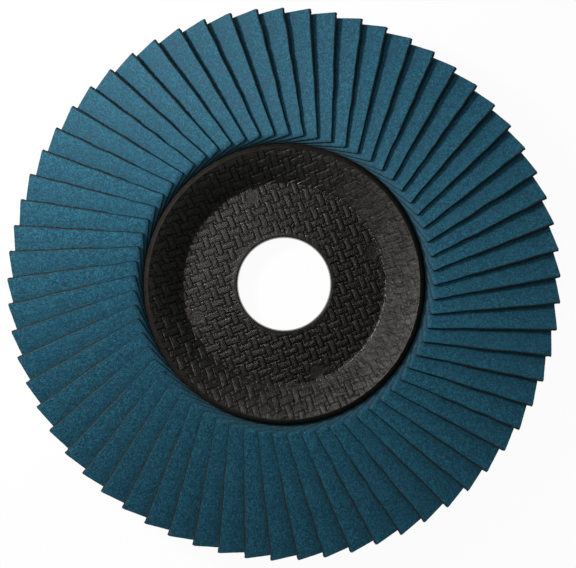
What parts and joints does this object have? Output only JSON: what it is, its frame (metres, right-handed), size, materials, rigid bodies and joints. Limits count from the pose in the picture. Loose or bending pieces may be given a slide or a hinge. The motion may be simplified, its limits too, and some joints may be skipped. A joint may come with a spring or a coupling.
{
  "type": "flap disc",
  "caption": "Grinding flap disc: overlapping abrasive cloth flaps glued round a depressed-centre moulded backing plate with a plain spindle bore.",
  "frame": {"origin": "on the bore axis, at the hub's back face, which the disc rests on", "axes": "+Z along the bore axis from the hub's back face towards the abrasive side; +Y is up in a view from the front; the flaps' free edges point clockwise in that view"},
  "size_m": [0.126, 0.1259, 0.0132],
  "materials": {
    "plate": "black glass-mesh resin moulding, satin",
    "adhesive": "cured adhesive, dull, very dark brown",
    "abrasive_cloth": "blue abrasive grit on cloth, matt and grainy"
  },
  "bodies": {
    "root": {"backing_plate": "plate", "adhesive_ring": "adhesive", "flap_pair_01": "abrasive_cloth", "flap_pair_02": "abrasive_cloth", "flap_pair_03": "abrasive_cloth", "flap_pair_04": "abrasive_cloth", "flap_pair_05": "abrasive_cloth", "flap_pair_06": "abrasive_cloth", "flap_pair_07": "abrasive_cloth", "flap_pair_08": "abrasive_cloth", "flap_pair_09": "abrasive_cloth", "flap_pair_10": "abrasive_cloth", "flap_pair_11": "abrasive_cloth", "flap_pair_12": "abrasive_cloth", "flap_pair_13": "abrasive_cloth", "flap_pair_14": "abrasive_cloth", "flap_pair_15": "abrasive_cloth", "flap_pair_16": "abrasive_cloth", "flap_pair_17": "abrasive_cloth", "flap_pair_18": "abrasive_cloth", "flap_pair_19": "abrasive_cloth", "flap_pair_20": "abrasive_cloth", "flap_pair_21": "abrasive_cloth", "flap_pair_22": "abrasive_cloth", "flap_pair_23": "abrasive_cloth", "flap_pair_24": "abrasive_cloth", "flap_pair_25": "abrasive_cloth", "flap_pair_26": "abrasive_cloth", "flap_pair_27": "abrasive_cloth", "flap_pair_28": "abrasive_cloth", "flap_pair_29": "abrasive_cloth", "flap_pair_30": "abrasive_cloth", "flap_pair_31": "abrasive_cloth", "flap_pair_32": "abrasive_cloth", "flap_single_33": "abrasive_cloth"}
  },
  "joints": []
}
